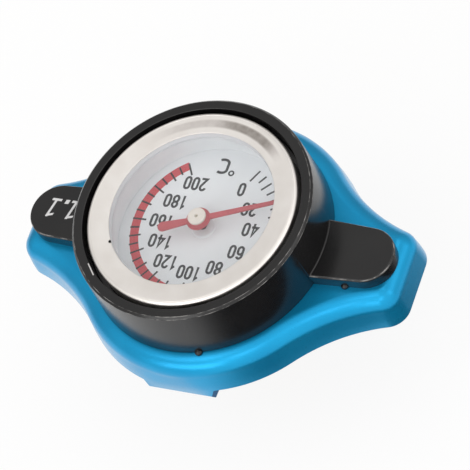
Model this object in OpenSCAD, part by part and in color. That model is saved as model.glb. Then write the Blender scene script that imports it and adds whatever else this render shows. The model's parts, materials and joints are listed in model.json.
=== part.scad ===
// Radiator cap thermometer: a pressed bayonet cap with a bimetal dial thermometer on top.
// Millimetres. Z is the axis of the cap, up. X runs along the finger lugs, Y to the top of the dial.
// The origin lies on the axis, in the plane where the top seal meets the rim of the filler neck.

/* [Cap body] */
// Radius of the round body at the lower edge of its skirt
body_r = 25.2; // [24:0.1:28]
// Distance from the axis to the flat end of a finger lug
lug_reach = 35.8; // [34:0.1:40]
// Half width of a finger lug near its end
lug_half_w = 8.1; // [7.5:0.1:10]
// Corner radius of a finger lug
lug_corner_r = 3.9; // [3.7:0.1:5]
// Radius of the hollow sweep between body and lug
waist_r = 32; // [26:1:40]
// Height of the flat top above the rim of the neck
top_rise = 3.7; // [3.5:0.1:5]
// Depth of the skirt's edge below the rim of the neck
skirt_drop = 3.4; // [3:0.1:4.5]
// Thickness of the pressed sheet
sheet = 1.2; // [0.9:0.1:1.4]
// Radius of the rounded upper edge
edge_r = 3.1; // [2:0.1:3.1]
// How far the skirt flares out below the crease
flare = 0.4; // [0.1:0.1:0.5]

/* [Bayonet hooks] */
// Half width of a hook where its trailing end leaves the skirt
hook_root_w = 7.7; // [6.6:0.1:8.5]
// Half width of a hook at its bend
hook_tip_w = 6.1; // [4.5:0.1:6.4]
// How far a hook's leading end slopes out towards the skirt
hook_lead = 0.5; // [0:0.1:1]
// Depth of a hook's underside below the rim of the neck
hook_drop = 7.1; // [6.2:0.1:8]
// How far a hook reaches in from its flat outer face
hook_reach = 4.4; // [3.2:0.1:5.4]
// Outer radius of a hook's bend
hook_bend_r = 1.8; // [1.5:0.1:2]

/* [Gauge housing] */
// Height of the housing's rim above the cap's flat top
housing_h = 10.5; // [10:0.1:14]
// Outer radius of the rim
rim_r = 20.7; // [20.5:0.1:21.2]
// Outer radius of the housing at its foot
foot_r = 21.7; // [21.5:0.1:21.9]
// Bevel at the rim's outer edge
rim_bevel = 0.4; // [0.2:0.1:0.8]
// Thickness of the housing's floor
housing_floor = 1.5; // [1.2:0.1:1.8]
// Distance from the end of a finger lug to the round end of its tab
tab_inset = 1.7; // [0.8:0.05:3.5]
// Radius of a tab's round end
tab_end_r = 5.1; // [4.5:0.1:5.5]
// Angle by which a tab's side opens towards the housing
tab_taper = 3; // [0:0.5:5]
// Thickness of a tab
tab_t = 2.4; // [2.2:0.1:3]
// Width of the groove between rim and bezel
groove_w = 0.7; // [0.4:0.1:0.9]
// Distance from the end of a finger lug to the screw that holds its tab
screw_inset = 7.8; // [6.8:0.1:9.8]
// Radius of a screw
screw_r = 1.45; // [1.2:0.05:1.7]
// Radius of the moulding pips at the foot
pip_r = 0.55; // [0.4:0.05:0.8]

/* [Gauge] */
// Outer radius of the bezel
bezel_r = 18.5; // [18.3:0.1:18.8]
// Width of the bezel's face
bezel_w = 4; // [3.5:0.1:5]
// Depth of the bezel's outer edge below the housing's rim
bezel_sink = 0.4; // [0.2:0.1:1]
// Height of the bezel's crown above its edges
bezel_crown = 0.55; // [0.3:0.05:0.8]
// Thickness of the bezel's sheet
bezel_t = 0.5; // [0.4:0.05:0.6]
// Length of the bezel's skirt
bezel_skirt = 2.9; // [2:0.1:4]
// Thickness of the lens
lens_t = 1.2; // [1:0.1:1.6]
// Thickness of the gasket on the lens
gasket_t = 0.35; // [0.2:0.05:0.5]
// Thickness of the dial
dial_t = 0.4; // [0.3:0.1:0.5]
// Wall of the gauge case
case_t = 0.5; // [0.4:0.1:0.6]
// How far the spacer's upper lip shows inside the bezel
spacer_show = 0.2; // [0:0.1:0.5]

/* [Pointer] */
// Direction of the scale's first mark, in degrees from X
scale_start = 241; // [180:1:270]
// Degrees of turn per degree of temperature
scale_step = 1.5; // [1:0.1:1.6]
// Temperature that the pointer shows at rest
shown_temp = 26; // [0:1:120]
// Gap between the blade's tip and the spacer's lip
blade_gap = 0.7; // [0.7:0.1:4]
// Length of the tail from the axis to the centre of its round end
tail_len = 6.3; // [4:0.1:8]
// Radius of the round hub
hub_r = 2.25; // [1.8:0.05:2.8]
// Thickness of the pointer
pointer_t = 0.35; // [0.2:0.05:0.5]
// Depth of the pointer's face below the lens
pointer_sink = 1.5; // [0.8:0.05:2]

/* [Stem] */
// Outer radius of the probe
stem_r = 3; // [2.8:0.1:3.2]
// Radius of the stem's screw thread
thread_r = 4; // [3.8:0.1:4.2]
// Inner radius of the probe
stem_bore_r = 2.3; // [2.1:0.1:2.4]
// Radius of the flange that holds the stem in the gauge
flange_r = 5.5; // [5:0.1:7]
// Thickness of that flange
flange_t = 1; // [0.8:0.1:1.4]
// Depth of the probe's tip below the rim of the neck
stem_drop = 31; // [28:0.5:36]
// Depth of the bimetal coil's upper end below the rim of the neck
coil_drop = 11; // [9:0.5:13]
// Curls of the bimetal coil
coil_curls = 9; // [6:1:9]
// Radius of the spindle
spindle_r = 0.45; // [0.35:0.05:0.6]
// Width of the stem nut across its flats
nut_flats = 11; // [10.5:0.5:11.5]
// Height of the stem nut
nut_h = 3; // [2.5:0.1:3.5]

/* [Valves] */
// Radius of the sprung diaphragm behind the top seal
diaphragm_r = 19.4; // [19:0.1:20]
// Thickness of the diaphragm
diaphragm_t = 0.4; // [0.3:0.05:0.45]
// Radius of the main seal
seal_r = 14; // [13.9:0.1:14.5]
// Thickness of the main seal below its plate
seal_t = 1.6; // [1.3:0.1:2]
// Inner radius of the ring on which the main seal seats
land_r = 11.2; // [10.6:0.1:12]
// Depth of the main seal's face below the rim of the neck, with the cap off
valve_drop = 17; // [16:0.1:18.5]
// Travel of the pressure valve
valve_lift = 4.5; // [3:0.1:5.5]
// Travel of the vacuum valve
vacuum_drop = 1.5; // [1:0.1:1.6]
// Outer radius of the guide tube
guide_r = 7.7; // [7.5:0.1:8.2]
// Sheet thickness of the valve parts
valve_sheet = 0.8; // [0.7:0.05:0.9]
// Diameter of the main spring's wire
spring_wire = 1.6; // [1.2:0.1:1.8]
// Curls of the main spring
spring_curls = 4; // [3:0.5:4.5]
// Diameter of the vacuum spring's wire
vacuum_wire = 0.4; // [0.3:0.05:0.45]
// Curls of the vacuum spring
vacuum_curls = 2; // [1:0.5:2]

/* [Hidden] */
$fn = 96;

// Clearances
fit_gap = 0.05;
run_gap = 0.06;
slide_gap = 0.15;
stop_gap = 0.1;
clear_gap = 0.3;
cut = 1;

// Levels of the cap, from the top down
rim_z = top_rise + housing_h;
floor_z = top_rise + housing_floor;
under_top = top_rise - sheet;
crease_z = top_rise - edge_r;
seat_top = under_top - diaphragm_t;
seat_under = seat_top - valve_sheet;
guide_under = seat_under - valve_sheet;
washer_t = 0.5;
nut_top = guide_under - washer_t;
nut_under = nut_top - nut_h;
nut_corner_r = nut_flats / 2 / cos(30);

// Hole for the stem
stem_hole_r = thread_r + stop_gap;

// Outline of the cap body
corner_c = [lug_reach - lug_corner_r, lug_half_w - lug_corner_r];
waist_far = body_r + waist_r;
waist_turn = acos((pow(waist_far, 2) + pow(norm(corner_c), 2) - pow(lug_corner_r + waist_r, 2))
    / (2 * waist_far * norm(corner_c)));
body_turn = atan2(corner_c.y, corner_c.x) + waist_turn;
waist_c = waist_far * [cos(body_turn), sin(body_turn)];
corner_turn = atan2(waist_c.y - corner_c.y, waist_c.x - corner_c.x);
chord_turn = acos(hook_root_w / body_r);
chord_y = body_r * sin(chord_turn);
hook_in = chord_y - hook_reach;
corner_steps = 8;
waist_steps = 8;
body_steps = 8;
front_steps = 4;
edge_steps = 6;
hook_lap = 0.3;

// Levels and radii of the gauge
bezel_z = rim_z - bezel_sink;
bezel_under = bezel_z - bezel_t;
bezel_foot = bezel_z - bezel_skirt;
bezel_open_r = bezel_r - bezel_w;
spacer_lip_r = bezel_open_r - spacer_show;
lens_top = bezel_under - gasket_t;
lens_under = lens_top - lens_t;
case_r = bezel_r - bezel_t - fit_gap;
case_bore_r = case_r - case_t;
lens_r = case_bore_r - slide_gap;
case_floor_t = 0.6;
dial_ledge_w = 1.85;
dial_ledge_r = case_bore_r - dial_ledge_w;
flange_z = floor_z + case_floor_t;
dial_under = flange_z + flange_t + stop_gap;
dial_z = dial_under + dial_t;
rim_bore_r = bezel_r + groove_w;
shoulder_z = bezel_foot - 2 * clear_gap;
pointer_z = lens_under - pointer_sink;
pointer_turn = scale_start - scale_step * shown_temp;
blade_len = spacer_lip_r - blade_gap;
cap_step = 0.6;
cap_r = hub_r - cap_step;
cap_t = 0.5;

// Housing tabs and their screws
tab_reach = lug_reach - tab_inset;
tab_c = tab_reach - tab_end_r;
tab_bite = 1;
tab_root = case_r + tab_bite;
screw_x = lug_reach - screw_inset;
screw_bite = 1.8;
screw_head_r = 2 * screw_r;
screw_head_h = 1.7;

// Probe
plug_h = 3.5;
plug_head = 1;
plug_top = plug_h - stem_drop;
tube_foot = plug_head - stem_drop;
coil_top = -coil_drop;
bush_h = 2.5;

// Valves, from the seal up
plate_under = seal_t - valve_drop;
plate_z = plate_under + valve_sheet;
recess = 0.6;
recess_z = recess - valve_drop;
collar_in = guide_r + valve_sheet + slide_gap + fit_gap;
collar_t = 0.7;
collar_r = collar_in + collar_t;
curl_rings = 8;
wire_sides = 6;
spring_r = (collar_r + slide_gap + spring_wire / 2) / cos(180 / curl_rings);
spring_out = spring_r + spring_wire / 2;
spring_cup_in = spring_out + slide_gap;
spring_cup_r = spring_cup_in + valve_sheet;
guide_foot = plate_z + valve_lift + clear_gap + stop_gap;
lip_z = guide_foot + valve_sheet;
collar_top = lip_z + stop_gap + valve_sheet;
vent_r = 1;
seal_edge = 0.6;
plate_r = seal_r - seal_edge;
seal_wrap = 0.4;
seal_wrap_r = plate_r - seal_edge;
sleeve_in = stem_r + stop_gap;
sleeve_t = 1.2;
sleeve_r = sleeve_in + sleeve_t;
sleeve_lip = 0.4;
inflow = 0.7;
plate_hole_r = sleeve_r + inflow;
vacuum_lap = 2.6;
vacuum_r = plate_hole_r + vacuum_lap;
vacuum_spring_r = (sleeve_r + sleeve_lip + slide_gap + vacuum_wire / 2) / cos(180 / curl_rings);
vacuum_t = 0.9;
vacuum_top = recess_z - stop_gap;
vacuum_under = vacuum_top - vacuum_t;
keeper_t = 0.6;
shut_h = 1.9;
keeper_z = plate_z + vacuum_drop + shut_h;
keeper_top = keeper_z + keeper_t;
sleeve_top = keeper_top + slide_gap;
keeper_r = vacuum_spring_r + vacuum_wire / 2 + keeper_t;

// Colours
blue = [0.09, 0.56, 0.84];
black = [0.09, 0.09, 0.09];
polished = [0.88, 0.86, 0.82];
glassy = [0.85, 0.92, 0.95, 0.35];
white = [0.93, 0.93, 0.94];
red = [0.80, 0.16, 0.18];
cream = [0.93, 0.89, 0.78];
brass = [0.80, 0.64, 0.30];
zinc = [0.72, 0.73, 0.74];
rubber = [0.15, 0.15, 0.15];

function arc(c, r, from, to, steps) =
    [for (i = [0:steps]) let (a = from + (to - from) * i / steps) c + r * [cos(a), sin(a)]];

// Arc from p to q that rises by sag to the left of the line between them
function bow(p, q, sag, steps) =
    let (
        d = q - p,
        half = norm(d) / 2,
        left = [-d.y, d.x] / norm(d),
        r = (half * half + sag * sag) / (2 * sag),
        c = (p + q) / 2 - (r - sag) * left,
        a = atan2(p.y - c.y, p.x - c.x),
        b = atan2(q.y - c.y, q.x - c.x)
    )
    arc(c, r, a, b, steps);

// A list without its first point
function tail(points) = [for (i = [1:len(points) - 1]) points[i]];

// One quarter of the cap body's outline, moved out by grow: lug corner, hollow waist, round body
function quarter(grow) =
    let (
        corner = arc(corner_c, lug_corner_r + grow, 0, corner_turn, corner_steps),
        waist = arc(waist_c, waist_r - grow, corner_turn + 180, body_turn + 180, waist_steps),
        body = arc([0, 0], body_r + grow, body_turn, chord_turn, body_steps),
        front = arc([0, 0], body_r + grow, chord_turn, 90, front_steps)
    )
    concat(corner, tail(waist), tail(body), tail(front));

// The whole outline, counter-clockwise from the +X lug
function outline(grow) =
    let (q = quarter(grow), last = len(q) - 1)
    concat(
        q,
        [for (i = [last - 1:-1:0]) [-q[i].x, q[i].y]],
        [for (i = [0:last]) [-q[i].x, -q[i].y]],
        [for (i = [last - 1:-1:0]) [q[i].x, -q[i].y]]
    );

// The outline at one level, flattened at front and back where the hooks hang
function level(grow, z, flat_y) =
    [for (p = outline(grow)) [p.x, sign(p.y) * min(abs(p.y), flat_y), z]];

// Closed skin over a list of rings with equal point counts, capped at both ends
module skin(rings) {
    count = len(rings[0]);
    last = len(rings) - 1;
    points = [for (ring = rings) each ring];
    sides = [
        for (k = [0:last - 1], i = [0:count - 1])
            let (
                j = (i + 1) % count,
                a = k * count + i,
                b = k * count + j,
                c = (k + 1) * count + j,
                d = (k + 1) * count + i
            )
            each [[a, b, c], [a, c, d]]
    ];
    first_cap = [for (i = [count - 1:-1:0]) i];
    last_cap = [for (i = [0:count - 1]) last * count + i];
    polyhedron(points, concat([first_cap], sides, [last_cap]), convexity = 8);
}

// Route of a helical wire, unrolled: distance round the axis against height, with square straight ends
function wire_route(length, radius, wire, curls) =
    let (
        bend = wire * 0.75,
        rise = length - 2 * wire - 2 * bend,
        run = curls * 2 * PI * radius,
        start = [bend, wire + bend],
        steps = curls * curl_rings
    )
    concat(
        [[0, 0], [0, wire]],
        [for (a = [30, 60]) [bend * (1 - cos(a)), wire + bend * sin(a)]],
        [for (i = [0:steps]) start + [run, rise] * i / steps],
        [for (a = [60, 30]) [run + bend * (1 + cos(a)), length - wire - bend * sin(a)]],
        [[run + 2 * bend, length - wire], [run + 2 * bend, length]]
    );

// Unrolled route wrapped round the axis
function wrap(route, radius) =
    [for (p = route) let (a = p.x / radius * 180 / PI) [radius * cos(a), radius * sin(a), p.y]];

// Cross-section of a round wire
function round_wire(wire) =
    [for (i = [0:wire_sides - 1]) let (a = 360 * i / wire_sides) wire / 2 * [cos(a), sin(a)]];

// Rings of a wire's cross-section along its unrolled route
function wire_rings(route, radius, section) =
    let (last = len(route) - 1)
    [
        for (k = [0:last])
            let (
                p = route[k],
                ahead = route[min(k + 1, last)] - p,
                behind = p - route[max(k - 1, 0)],
                t = ahead / max(norm(ahead), 1e-6) + behind / max(norm(behind), 1e-6),
                along = t / norm(t),
                a = p.x / radius * 180 / PI,
                out = [cos(a), sin(a), 0],
                turnwise = [-sin(a), cos(a), 0],
                side = -along.y * turnwise + along.x * [0, 0, 1]
            )
            [for (s = section) radius * out + [0, 0, p.y] + s.x * out + s.y * side]
    ];

// Least gap between curls, measured between points that lie more than most of a curl apart
function least_gap(points, wire, apart) =
    let (last = len(points) - 1)
    min([for (i = [0:last], j = [i + apart:1:last]) norm(points[i] - points[j])]) - wire;

module ring(inner, outer, z, h) {
    translate([0, 0, z])
        difference() {
            cylinder(r = outer, h = h);
            translate([0, 0, -cut]) cylinder(r = inner, h = h + 2 * cut);
        }
}

module stem_hole(z, h) {
    translate([0, 0, z - cut]) cylinder(r = stem_hole_r, h = h + 2 * cut);
}

module cap_shell() {
    bend_c = [-flare - edge_r, crease_z];
    outside = [for (p = arc(bend_c, edge_r, 90, 0, edge_steps)) level(p.x, p.y, body_r)];
    inside = [for (p = arc(bend_c, edge_r - sheet, 0, 90, edge_steps)) level(p.x, p.y, body_r)];
    edge = [level(0, -skirt_drop, chord_y), level(-sheet, -skirt_drop, chord_y - sheet)];
    skin(concat(outside, edge, inside));
}

module hook() {
    bend_c = [chord_y - hook_bend_r, hook_bend_r - hook_drop];
    section = concat(
        [[chord_y, hook_lap - skirt_drop]],
        arc(bend_c, hook_bend_r, 0, -90, edge_steps),
        [[hook_in, -hook_drop], [hook_in, sheet - hook_drop]],
        arc(bend_c, hook_bend_r - sheet, -90, 0, edge_steps),
        [[chord_y - sheet, hook_lap - skirt_drop]]
    );
    intersection() {
        rotate([90, 0, 90])
            linear_extrude(height = 4 * hook_root_w, center = true)
                polygon(section);
        rotate([90, 0, 0])
            linear_extrude(height = 4 * body_r, center = true)
                polygon([[-hook_root_w, hook_lap - skirt_drop], [-hook_tip_w, -hook_drop],
                    [hook_tip_w, -hook_drop], [hook_tip_w + hook_lead, hook_lap - skirt_drop]]);
    }
}

module cap_body() {
    color(blue)
        difference() {
            union() {
                cap_shell();
                for (turn = [0, 180]) rotate(turn) hook();
            }
            stem_hole(under_top, sheet);
            for (side = [-1, 1])
                translate([side * screw_x, 0, under_top - cut])
                    cylinder(r = screw_r + slide_gap, h = sheet + 2 * cut);
        }
}

module housing_tab() {
    flank = [tab_c + tab_end_r * sin(tab_taper), tab_end_r * cos(tab_taper)];
    root_w = flank.y + (flank.x - tab_root) * tan(tab_taper);
    translate([0, 0, top_rise])
        linear_extrude(height = tab_t) {
            translate([tab_c, 0]) circle(r = tab_end_r);
            polygon([flank, [tab_root, root_w], [tab_root, -root_w], [flank.x, -flank.y]]);
        }
}

module pip(x, y) {
    translate([x, y, top_rise]) cylinder(r = pip_r, h = 2 * pip_r);
}

module gauge_housing() {
    wall_r = rim_r + rim_bevel;
    seat_r = case_r + stop_gap;
    pip_turn = 104.5;
    pip_back = 2.25;
    color(black)
        difference() {
            union() {
                rotate_extrude()
                    polygon([
                        [stem_hole_r, top_rise], [foot_r, top_rise], [wall_r, rim_z - rim_bevel],
                        [rim_r, rim_z], [rim_bore_r, rim_z], [rim_bore_r, shoulder_z],
                        [seat_r, shoulder_z], [seat_r, floor_z], [stem_hole_r, floor_z]
                    ]);
                for (turn = [0, 180]) rotate(turn) housing_tab();
                rotate(pip_turn) pip(foot_r, 0);
                pip(pip_back - tab_c, tab_end_r);
            }
            for (side = [-1, 1])
                translate([side * screw_x, 0, top_rise - cut])
                    cylinder(r = screw_r + fit_gap, h = screw_bite + fit_gap + cut);
        }
}

module housing_screws() {
    socket_r = screw_r - slide_gap;
    color(zinc)
        for (side = [-1, 1])
            translate([side * screw_x, 0, under_top]) {
                cylinder(r = screw_r, h = sheet + screw_bite);
                difference() {
                    rotate_extrude()
                        polygon([[0, 0], [screw_head_r, 0], [screw_head_r, -screw_head_h / 2],
                            [screw_head_r - screw_head_h / 2, -screw_head_h], [0, -screw_head_h]]);
                    translate([0, 0, -screw_head_h - cut])
                        cylinder(r = socket_r, h = screw_head_h / 2 + cut, $fn = 6);
                }
            }
}

module gauge_case() {
    color(zinc)
        rotate_extrude()
            polygon([
                [stem_hole_r, floor_z], [case_r, floor_z], [case_r, bezel_under - fit_gap],
                [case_bore_r, bezel_under - fit_gap], [case_bore_r, dial_under],
                [dial_ledge_r, dial_under], [dial_ledge_r, flange_z], [stem_hole_r, flange_z]
            ]);
}

module bezel() {
    color(polished)
        rotate_extrude()
            polygon(concat(
                [[bezel_open_r, bezel_under]],
                bow([bezel_open_r, bezel_z], [bezel_r, bezel_z], bezel_crown, 12),
                [[bezel_r, bezel_foot], [bezel_r - bezel_t, bezel_foot], [bezel_r - bezel_t, bezel_under]]
            ));
}

module lens() {
    color(glassy) translate([0, 0, lens_under]) cylinder(r = lens_r, h = lens_t);
}

module lens_gasket() {
    color(rubber) ring(bezel_open_r + clear_gap, lens_r, lens_top, gasket_t);
}

module dial_spacer() {
    lip_t = 0.4;
    lip_w = 0.6;
    color(white)
        rotate_extrude()
            polygon([
                [lens_r, lens_under], [spacer_lip_r, lens_under], [spacer_lip_r, lens_under - lip_t],
                [spacer_lip_r + lip_w, lens_under - 2 * lip_t], [dial_ledge_r - clear_gap, dial_z],
                [lens_r, dial_z]
            ]);
}

module dial() {
    color(white) ring(2 * spindle_r, lens_r, dial_under, dial_t);
}

module pointer() {
    blade_root = 0.6;
    blade_tip = 0.36;
    tail_root = 0.65;
    tail_end = 0.9;
    boss_h = 0.8;
    boss_step = 1;
    boss_r = hub_r - boss_step;
    boss_z = pointer_z - pointer_t - boss_h;
    color(red)
        rotate(pointer_turn)
            difference() {
                union() {
                    translate([0, 0, pointer_z - pointer_t])
                        linear_extrude(height = pointer_t) {
                            circle(r = hub_r);
                            translate([-tail_len, 0]) circle(r = tail_end);
                            polygon([[0, blade_root], [blade_len, blade_tip],
                                [blade_len, -blade_tip], [0, -blade_root]]);
                            polygon([[0, -tail_root], [-tail_len, -tail_end],
                                [-tail_len, tail_end], [0, tail_root]]);
                        }
                    translate([0, 0, boss_z]) cylinder(r = boss_r, h = boss_h);
                }
                translate([0, 0, boss_z - cut])
                    cylinder(r = spindle_r + fit_gap, h = boss_h + pointer_t + 2 * cut);
            }
}

module pointer_cap() {
    color(cream) ring(spindle_r + fit_gap, cap_r, pointer_z, cap_t);
}

module spindle() {
    foot = coil_top - bush_h;
    color(zinc)
        translate([0, 0, foot])
            cylinder(r = spindle_r, h = pointer_z + cap_t + fit_gap - foot);
}

module upper_bush() {
    color(brass) ring(spindle_r + run_gap, stem_bore_r - fit_gap, flange_z + flange_t - bush_h, bush_h);
}

module lower_bush() {
    color(brass) ring(spindle_r + run_gap, stem_bore_r - fit_gap, coil_top + clear_gap, bush_h);
}

module stem_tube() {
    thread_foot = nut_under - clear_gap;
    thread_runout = thread_r - stem_r;
    color(brass)
        rotate_extrude()
            polygon([
                [stem_bore_r, flange_z + flange_t], [flange_r, flange_z + flange_t], [flange_r, flange_z],
                [thread_r, flange_z], [thread_r, thread_foot], [stem_r, thread_foot - thread_runout],
                [stem_r, tube_foot], [stem_bore_r, tube_foot]
            ]);
}

module stem_plug() {
    tip_bevel = 0.5;
    color(brass)
        rotate_extrude()
            polygon([
                [0, plug_top], [stem_bore_r - fit_gap, plug_top], [stem_bore_r - fit_gap, tube_foot],
                [stem_r, tube_foot], [stem_r, tip_bevel - stem_drop], [stem_r - tip_bevel, -stem_drop],
                [0, -stem_drop]
            ]);
}

module bimetal_coil() {
    coil_r = 1.5;
    strip_t = 0.3;
    strip_w = 0.7;
    route = wire_route(coil_top - plug_top, coil_r, strip_w, coil_curls);
    section = [[-strip_t, -strip_w], [strip_t, -strip_w], [strip_t, strip_w], [-strip_t, strip_w]] / 2;
    color([0.62, 0.58, 0.52])
        translate([0, 0, plug_top])
            skin(wire_rings(route, coil_r, section));
}

module stem_washer() {
    color(zinc) ring(stem_hole_r, nut_corner_r, nut_top, washer_t);
}

module stem_nut() {
    bevel = 0.6;
    crown_r = nut_corner_r - bevel;
    color(brass)
        difference() {
            intersection() {
                translate([0, 0, nut_under]) cylinder(r = nut_corner_r, h = nut_h, $fn = 6);
                rotate_extrude()
                    polygon([[0, nut_top], [nut_corner_r, nut_top], [nut_corner_r, nut_under + bevel],
                        [crown_r, nut_under], [0, nut_under]]);
            }
            translate([0, 0, nut_under - cut]) cylinder(r = thread_r + fit_gap, h = nut_h + 2 * cut);
        }
}

module diaphragm() {
    dish_r = spring_cup_r + stop_gap;
    dish_w = 1.2;
    dish = under_top - 2 * diaphragm_t;
    color(zinc)
        rotate_extrude()
            polygon([
                [stem_hole_r, under_top], [dish_r, under_top], [dish_r + dish_w, under_top - diaphragm_t],
                [diaphragm_r, under_top - diaphragm_t], [diaphragm_r, dish],
                [dish_r + dish_w, dish], [dish_r, seat_top], [stem_hole_r, seat_top]
            ]);
}

module top_seal() {
    color(rubber)
        ring(spring_cup_r + clear_gap, diaphragm_r - stop_gap, 0, under_top - 2 * diaphragm_t);
}

module spring_seat() {
    rim_h = 1.5;
    color(zinc)
        rotate_extrude()
            polygon([
                [stem_hole_r, seat_top], [spring_cup_r, seat_top], [spring_cup_r, seat_under - rim_h],
                [spring_cup_in, seat_under - rim_h], [spring_cup_in, seat_under], [stem_hole_r, seat_under]
            ]);
}

module guide_tube() {
    guide_in = guide_r - collar_t;
    color(zinc)
        rotate_extrude()
            polygon([
                [stem_hole_r, seat_under], [guide_r, seat_under], [guide_r, lip_z],
                [guide_r + valve_sheet, lip_z], [guide_r + valve_sheet, guide_foot], [guide_in, guide_foot],
                [guide_in, guide_under], [stem_hole_r, guide_under]
            ]);
}

module main_spring() {
    route = wire_route(seat_under - plate_z, spring_r, spring_wire, spring_curls);
    gap = least_gap(wrap(route, spring_r), spring_wire, curl_rings - 1);
    echo(str("main spring, least gap between curls: ", gap));
    color(zinc)
        translate([0, 0, plate_z])
            skin(wire_rings(route, spring_r, round_wire(spring_wire)));
}

module pressure_plate() {
    color(zinc)
        difference() {
            rotate_extrude()
                polygon([
                    [plate_hole_r, plate_under], [plate_r, plate_under], [plate_r, plate_z],
                    [collar_r, plate_z], [collar_r, collar_top], [guide_r + slide_gap, collar_top],
                    [guide_r + slide_gap, collar_top - valve_sheet], [collar_in, collar_top - valve_sheet],
                    [collar_in, plate_z], [plate_hole_r, plate_z]
                ]);
            for (turn = [0:90:270])
                rotate(turn)
                    translate([collar_in - cut, 0, plate_z + 2 * vent_r])
                        rotate([0, 90, 0]) cylinder(r = vent_r, h = collar_r - collar_in + 2 * cut);
        }
}

module main_seal() {
    bevel = 0.4;
    color(rubber)
        rotate_extrude()
            polygon([
                [plate_hole_r, plate_under], [plate_hole_r, recess_z], [land_r - bevel, recess_z],
                [land_r, -valve_drop], [seal_r, -valve_drop], [seal_r, plate_z + seal_wrap],
                [seal_wrap_r, plate_z + seal_wrap], [seal_wrap_r, plate_z], [plate_r, plate_z],
                [plate_r, plate_under]
            ]);
}

module vacuum_valve() {
    color(brass)
        rotate_extrude()
            polygon([
                [sleeve_in, vacuum_under], [vacuum_r, vacuum_under], [vacuum_r, vacuum_top],
                [sleeve_r, vacuum_top], [sleeve_r, keeper_top], [sleeve_r + sleeve_lip, keeper_top],
                [sleeve_r + sleeve_lip, sleeve_top], [sleeve_in, sleeve_top]
            ]);
}

module vacuum_spring() {
    route = wire_route(keeper_z - plate_z, vacuum_spring_r, vacuum_wire, vacuum_curls);
    gap = least_gap(wrap(route, vacuum_spring_r), vacuum_wire, curl_rings - 1);
    echo(str("vacuum spring, least gap between curls: ", gap));
    color(zinc)
        translate([0, 0, plate_z])
            skin(wire_rings(route, vacuum_spring_r, round_wire(vacuum_wire)));
}

module vacuum_keeper() {
    color(zinc) ring(sleeve_r + fit_gap, keeper_r, keeper_z, keeper_t);
}

cap_body();
gauge_housing();
housing_screws();
gauge_case();
bezel();
lens();
lens_gasket();
dial_spacer();
dial();
pointer();
pointer_cap();
spindle();
upper_bush();
lower_bush();
stem_tube();
stem_plug();
bimetal_coil();
stem_washer();
stem_nut();
diaphragm();
top_seal();
spring_seat();
guide_tube();
main_spring();
pressure_plate();
main_seal();
vacuum_valve();
vacuum_spring();
vacuum_keeper();
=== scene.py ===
# %% [markdown]
# # A radiator cap with a built-in thermometer
# The real object is a pressed blue bayonet cap with a black moulded gauge housing on top of it. Below
# the cap hang its sprung valves and a brass probe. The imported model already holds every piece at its
# true size, so this lesson starts from that fixed frame and rebuilds what shows, piece by piece, with
# softer edges and real finishes.

# %% Load the frame
import json
import math

import bmesh
import bpy
from mathutils import Matrix, Vector


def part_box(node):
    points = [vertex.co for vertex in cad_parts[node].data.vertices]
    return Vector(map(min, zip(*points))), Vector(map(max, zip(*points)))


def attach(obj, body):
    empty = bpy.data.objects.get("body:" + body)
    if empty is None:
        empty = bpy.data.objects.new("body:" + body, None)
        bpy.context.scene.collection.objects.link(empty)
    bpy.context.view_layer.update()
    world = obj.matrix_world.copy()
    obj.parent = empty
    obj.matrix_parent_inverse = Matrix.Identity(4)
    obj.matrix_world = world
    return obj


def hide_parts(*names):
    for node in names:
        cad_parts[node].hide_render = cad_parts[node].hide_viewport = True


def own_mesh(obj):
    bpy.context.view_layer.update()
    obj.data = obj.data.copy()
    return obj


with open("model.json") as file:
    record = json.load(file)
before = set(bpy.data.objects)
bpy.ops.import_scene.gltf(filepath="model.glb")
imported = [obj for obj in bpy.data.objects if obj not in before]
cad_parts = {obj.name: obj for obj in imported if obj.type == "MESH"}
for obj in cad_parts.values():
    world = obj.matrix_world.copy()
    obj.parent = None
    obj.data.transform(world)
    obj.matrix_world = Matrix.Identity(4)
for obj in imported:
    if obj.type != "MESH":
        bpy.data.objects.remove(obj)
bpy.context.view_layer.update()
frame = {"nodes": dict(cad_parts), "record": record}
MM = 0.001

# %% [markdown]
# ## Camera
# The photo looks down on the cap from its front left with a long lens, and the cap lies rolled in the
# picture. A camera could be aimed with a Track To constraint, but a place, an aim point and a roll
# angle are easier to read: the tracking rotation is found first, and the roll is a turn about the line
# of sight.

# %% Camera
camera_place = Vector((-204.5, 185.0, 371.9)) * MM
camera_aim = Vector((-9.5, 3.8, 13.8)) * MM
camera_roll = math.radians(-32.7)
camera_data = bpy.data.cameras.new("camera")
camera_data.sensor_width = 36.0
camera_data.lens = 209.7
camera_data.clip_start = 10 * MM
camera = bpy.data.objects.new("camera", camera_data)
bpy.context.collection.objects.link(camera)
sight = (camera_aim - camera_place).to_track_quat("-Z", "Y").to_matrix()
turned = sight @ Matrix.Rotation(camera_roll, 3, "Z")
camera.matrix_world = Matrix.Translation(camera_place) @ turned.to_4x4()
bpy.context.scene.camera = camera
print("camera at", [round(c / MM) for c in camera_place], "mm")

# %% [markdown]
# ## Outlines and turned shapes
# Most pieces of a gauge and a valve are turned or pressed round one axis. A Screw modifier could sweep
# a profile, but a small function that writes the rings itself gives clean quads, closes the shape and
# needs no modifier. Corners are rounded in the profile first, because hardly any real edge is perfectly
# sharp and a soft edge is what catches the light.


# %% Helpers for outlines
def arc(centre, radius, start, end, steps):
    """Points on an arc, with its angles in degrees."""
    turns = [math.radians(start + (end - start) * i / steps) for i in range(steps + 1)]
    return [(centre[0] + radius * math.cos(t), centre[1] + radius * math.sin(t)) for t in turns]


def circle(steps):
    """The angles of a full turn in equal steps."""
    return [2 * math.pi * k / steps for k in range(steps)]


def oblong(left, low, right, high):
    return [(left, low), (right, low), (right, high), (left, high)]


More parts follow.
